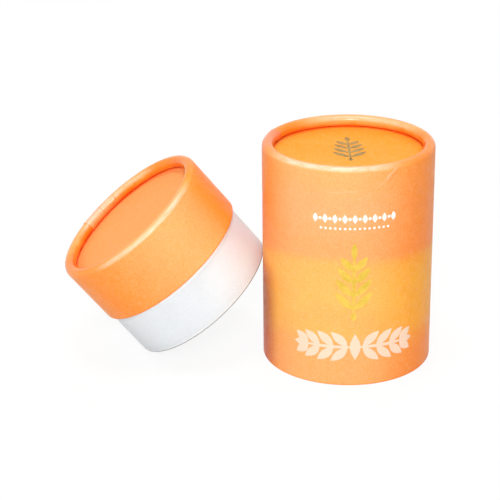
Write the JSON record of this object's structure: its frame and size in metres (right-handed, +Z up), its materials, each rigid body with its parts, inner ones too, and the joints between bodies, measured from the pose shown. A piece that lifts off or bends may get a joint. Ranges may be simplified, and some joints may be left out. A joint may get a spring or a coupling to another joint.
{
  "type": "round paper box",
  "caption": "Round paper tube box taken apart: a tall printed lid stands on its open end, and the short base with its white neck leans against it.",
  "frame": {"origin": "bottom centre of the box round both halves as they stand, on the surface they stand on", "axes": "+Z up along the standing lid's axis, +X from the leaning base towards the lid, +Y away from the viewer"},
  "size_m": [0.175, 0.0918, 0.1063],
  "materials": {
    "printed_wrap": "printed art paper, satin, in an orange to yellow watercolour wash",
    "white_paper": "uncoated white paper, matt",
    "tube_board": "wound grey board, matt",
    "neck_board": "wound board faced with smooth white paper, satin",
    "gold_foil": "hot-stamped gold foil, satin",
    "white_ink": "white ink on art paper, satin",
    "pale_ink": "pale peach ink on art paper, satin"
  },
  "bodies": {
    "base": {"base_tube": "tube_board", "base_wrap": "printed_wrap", "neck_tube": "neck_board", "base_disc_paper": "printed_wrap", "base_disc": "tube_board", "base_floor_paper": "white_paper"},
    "lid": {"lid_tube": "tube_board", "lid_wrap": "printed_wrap", "lid_liner": "white_paper", "lid_top_paper": "printed_wrap", "lid_top_disc": "tube_board", "lid_inner_paper": "white_paper"}
  },
  "joints": [
    {"name": "lid_lift", "type": "slide", "parent": "base", "child": "lid", "axis": [0, 0, 1], "range_m": [0, 0.1]}
  ]
}
